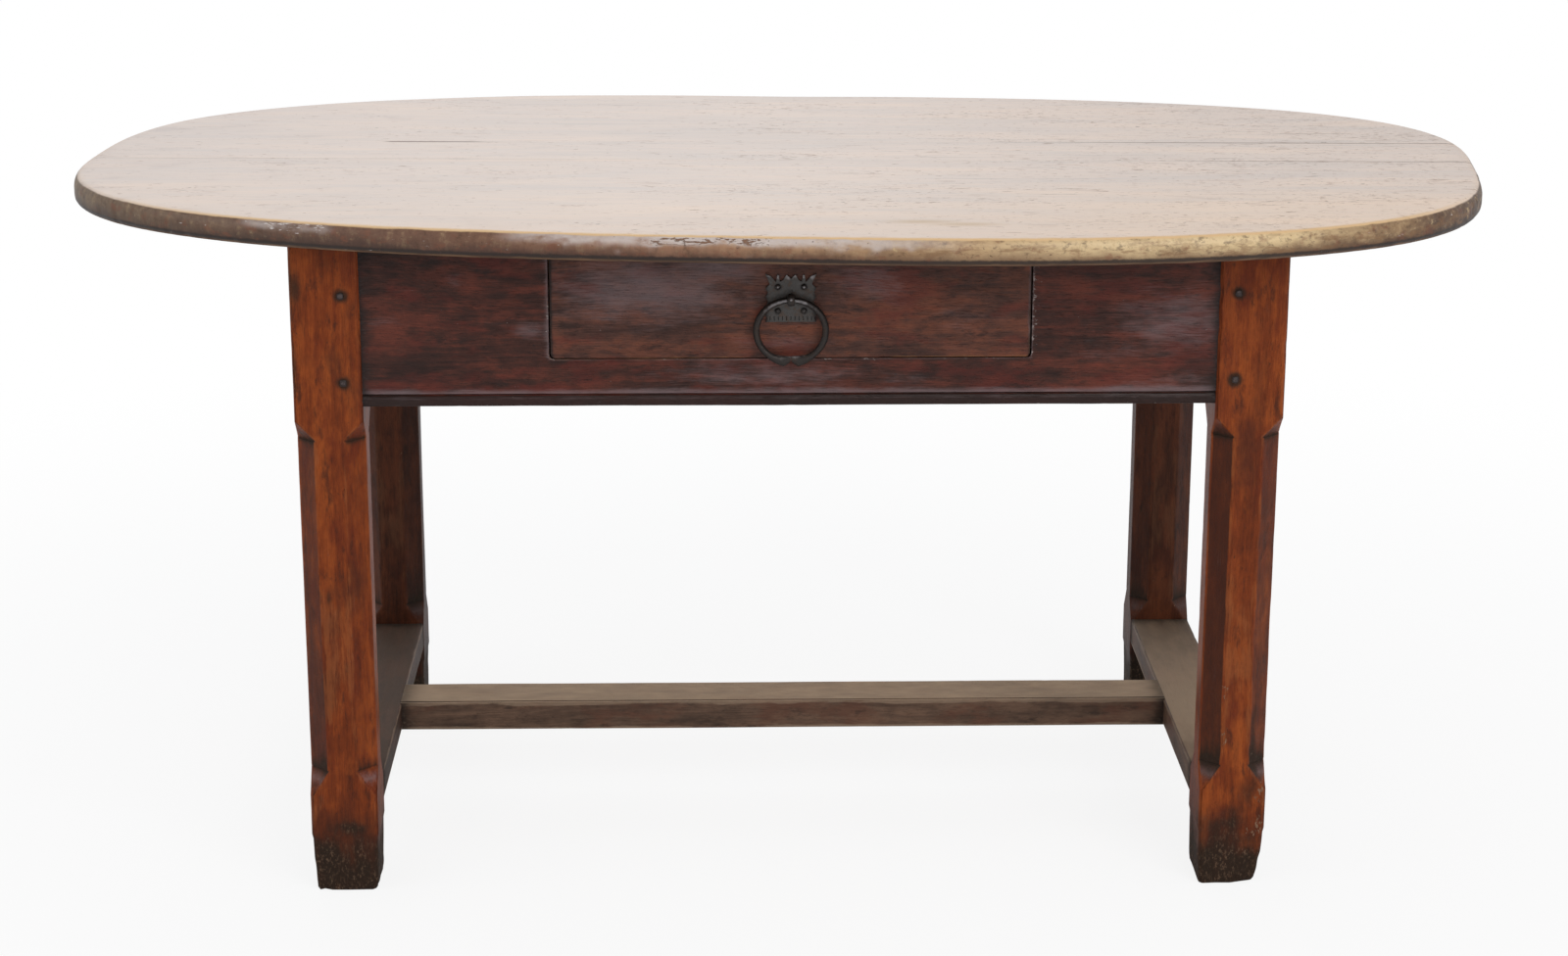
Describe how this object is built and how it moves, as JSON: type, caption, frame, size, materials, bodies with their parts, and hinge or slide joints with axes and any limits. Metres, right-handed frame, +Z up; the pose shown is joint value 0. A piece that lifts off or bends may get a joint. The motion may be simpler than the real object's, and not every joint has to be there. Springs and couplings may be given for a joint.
{
  "type": "oval center table",
  "caption": "Oval wooden center table: plank top, pegged frame with chamfered legs and H stretcher, one sliding drawer with an iron ring pull.",
  "frame": {"origin": "on the floor, under the middle of the table's bounding box", "axes": "+X to the right along the table's length, the drawer faces -Y, +Z up"},
  "size_m": [1.6044, 0.942, 0.765],
  "materials": {
    "scrubbed_top": "scrubbed pale, dry",
    "red_walnut": "waxed, orange red brown",
    "dark_walnut": "waxed, dark red brown",
    "grey_walnut": "worn, grey brown",
    "dark_oak_peg": "dark end grain",
    "inner_pine": "bare",
    "wrought_iron": "forged, near black"
  },
  "bodies": {
    "table": {"back_apron": "dark_walnut", "drawer_runner_left": "inner_pine", "drawer_runner_right": "inner_pine", "front_apron": "dark_walnut", "glue_block_back_left": "inner_pine", "glue_block_back_right": "inner_pine", "glue_block_front_left": "inner_pine", "glue_block_front_right": "inner_pine", "glue_block_left": "inner_pine", "glue_block_right": "inner_pine", "left_apron": "dark_walnut", "left_stretcher": "grey_walnut", "leg_back_left": "red_walnut", "leg_back_right": "red_walnut", "leg_front_left": "red_walnut", "leg_front_right": "red_walnut", "middle_stretcher": "grey_walnut", "peg_back_left_lower": "dark_oak_peg", "peg_back_left_upper": "dark_oak_peg", "peg_back_right_lower": "dark_oak_peg", "peg_back_right_upper": "dark_oak_peg", "peg_front_left_lower": "dark_oak_peg", "peg_front_left_upper": "dark_oak_peg", "peg_front_right_lower": "dark_oak_peg", "peg_front_right_upper": "dark_oak_peg", "peg_left_back_lower": "dark_oak_peg", "peg_left_back_stretcher": "dark_oak_peg", "peg_left_back_upper": "dark_oak_peg", "peg_left_front_lower": "dark_oak_peg", "peg_left_front_stretcher": "dark_oak_peg", "peg_left_front_upper": "dark_oak_peg", "peg_middle_left": "dark_oak_peg", "peg_middle_right": "dark_oak_peg", "peg_right_back_lower": "dark_oak_peg", "peg_right_back_stretcher": "dark_oak_peg", "peg_right_back_upper": "dark_oak_peg", "peg_right_front_lower": "dark_oak_peg", "peg_right_front_stretcher": "dark_oak_peg", "peg_right_front_upper": "dark_oak_peg", "right_apron": "dark_walnut", "right_stretcher": "grey_walnut", "top_board_back": "scrubbed_top", "top_board_front": "scrubbed_top", "top_board_middle": "scrubbed_top"},
    "drawer": {"drawer_back": "inner_pine", "drawer_bottom": "inner_pine", "drawer_front": "dark_walnut", "drawer_side_left": "inner_pine", "drawer_side_right": "inner_pine", "plate_nail_left_lower": "wrought_iron", "plate_nail_left_upper": "wrought_iron", "plate_nail_right_lower": "wrought_iron", "plate_nail_right_upper": "wrought_iron", "pull_eye": "wrought_iron", "pull_plate": "wrought_iron"},
    "ring": {"pull_ring": "wrought_iron"}
  },
  "joints": [
    {"name": "drawer_slide", "type": "slide", "parent": "table", "child": "drawer", "axis": [0, -1, 0], "range_m": [0, 0.42]},
    {"name": "ring_hinge", "type": "hinge", "parent": "drawer", "child": "ring", "pos_m": [0, -0.337, 0.6735], "axis": [-1, 0, 0], "range_deg": [-4, 150]}
  ]
}
